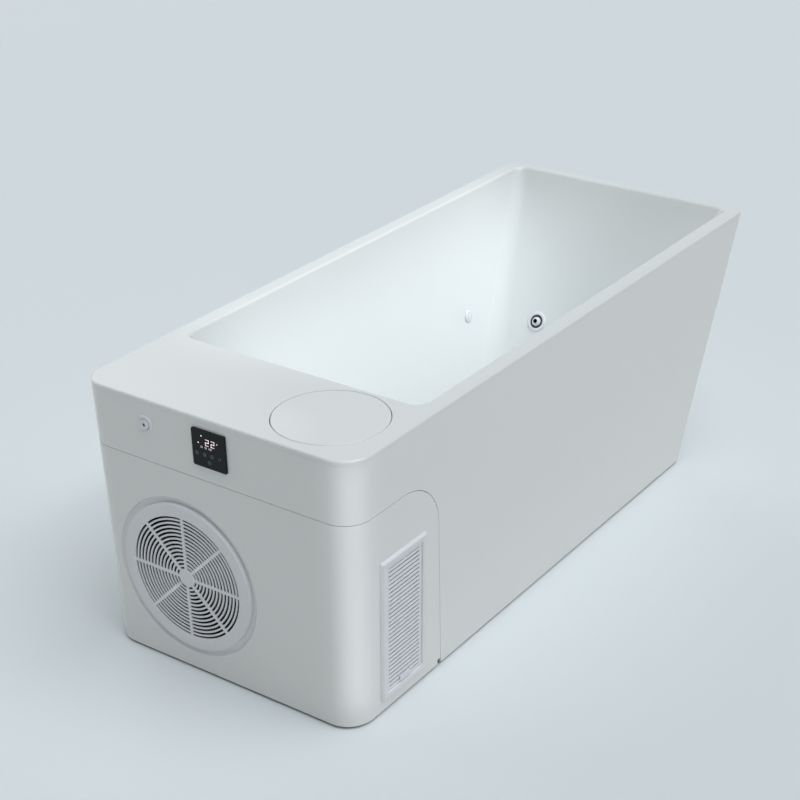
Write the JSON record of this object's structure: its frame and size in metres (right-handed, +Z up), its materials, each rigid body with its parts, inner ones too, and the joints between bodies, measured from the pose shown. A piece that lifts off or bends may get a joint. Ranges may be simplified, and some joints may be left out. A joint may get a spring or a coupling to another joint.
{
  "type": "cold plunge tub",
  "caption": "Long acrylic plunge bath with a slanted end, wide deck with filter lid, and a built-in chiller behind a removable cover with fan grille and side louvre.",
  "frame": {"origin": "middle of the overall box, on the floor", "axes": "+X along the tub towards the slanted end, +Y to the tub's left seen from the chiller end looking in, +Z up"},
  "size_m": [1.774, 0.7498, 0.67],
  "materials": {
    "acrylic": "gloss, vacuum formed",
    "white_plastic": "satin, moulded",
    "black_glass": "gloss, printed black behind",
    "grey_plastic": "matt, moulded",
    "rubber": "matt",
    "steel": "satin",
    "black_paint": "satin",
    "copper": "drawn",
    "aluminium": "mill",
    "green_board": "lacquered",
    "filter_paper": "pleated"
  },
  "bodies": {
    "tub": {"basin": "acrylic", "outer_skirt": "acrylic", "filter_housing": "white_plastic", "jet_body": "white_plastic", "suction_fitting": "white_plastic", "drain_pipe": "white_plastic", "button_bezel": "white_plastic", "control_glass": "black_glass", "fan_shroud": "grey_plastic", "pump_body": "grey_plastic", "control_housing": "grey_plastic", "control_box": "grey_plastic", "button_switch": "grey_plastic", "lid_seal": "rubber", "filter_hose": "rubber", "exchanger_hose": "rubber", "suction_hose": "rubber", "return_hose": "rubber", "cord_gland": "rubber", "foot_front_left": "rubber", "foot_front_right": "rubber", "foot_middle_left": "rubber", "foot_middle_right": "rubber", "foot_rear_left": "rubber", "foot_rear_right": "rubber", "fan_motor": "steel", "motor_bracket": "steel", "heat_exchanger": "steel", "drain_body": "steel", "frame_rail_left": "steel", "frame_rail_right": "steel", "frame_cross_front": "steel", "frame_cross_bay": "steel", "frame_cross_middle": "steel", "frame_cross_rear": "steel", "chiller_tray": "steel", "compressor": "black_paint", "accumulator": "black_paint", "pump_motor": "black_paint", "discharge_line": "copper", "suction_line": "copper", "liquid_line": "copper", "condenser": "aluminium", "control_board": "green_board"},
    "cover": {"chiller_cover": "acrylic", "fan_grille": "white_plastic", "louvre_frame": "white_plastic", "dust_filter": "grey_plastic"},
    "door": {"louvre_door": "white_plastic"},
    "latch": {"louvre_latch": "white_plastic"},
    "lid": {"filter_lid": "acrylic"},
    "cartridge": {"filter_cartridge": "filter_paper"},
    "fan": {"fan_impeller": "grey_plastic"},
    "button": {"button_cap": "white_plastic"},
    "collar": {"jet_collar": "grey_plastic"},
    "eyeball": {"jet_eyeball": "white_plastic"},
    "plug": {"drain_plug": "steel"}
  },
  "joints": [
    {"name": "cover_pull", "type": "slide", "parent": "tub", "child": "cover", "axis": [-1, 0, 0], "range_m": [0, 0.35]},
    {"name": "louvre_tilt", "type": "hinge", "parent": "cover", "child": "door", "pos_m": [-0.70499, -0.36793, 0.37222], "axis": [-1, 0, 0], "range_deg": [0, 60]},
    {"name": "latch_slide", "type": "slide", "parent": "door", "child": "latch", "axis": [0, -0.0271, 0.9996], "range_m": [0, 0.003], "stiffness_N_per_m": 150},
    {"name": "lid_lift", "type": "slide", "parent": "tub", "child": "lid", "axis": [0, 0, 1], "range_m": [0, 0.15]},
    {"name": "cartridge_lift", "type": "slide", "parent": "tub", "child": "cartridge", "axis": [0, 0, 1], "range_m": [0, 0.105]},
    {"name": "fan_spin", "type": "hinge", "parent": "tub", "child": "fan", "pos_m": [-0.83649, 0.102, 0.247], "axis": [1, 0, 0], "continuous": true},
    {"name": "button_press", "type": "slide", "parent": "tub", "child": "button", "axis": [1, 0, 0], "range_m": [0, 0.003], "stiffness_N_per_m": 300},
    {"name": "jet_collar_turn", "type": "hinge", "parent": "tub", "child": "collar", "pos_m": [0.64675, 0.132, 0.301], "axis": [-0.8581, 0, 0.5134], "continuous": true},
    {"name": "jet_eye_tilt", "type": "hinge", "parent": "collar", "child": "eyeball", "pos_m": [0.64675, 0.132, 0.301], "axis": [0, 1, 0], "range_deg": [-12, 12]},
    {"name": "drain_lift", "type": "slide", "parent": "tub", "child": "plug", "axis": [0, 0, 1], "range_m": [0, 0.012]}
  ],
  "couplings": [
    {"joint": "cartridge_lift", "follows": "lid_lift", "ratio": 0.7}
  ]
}
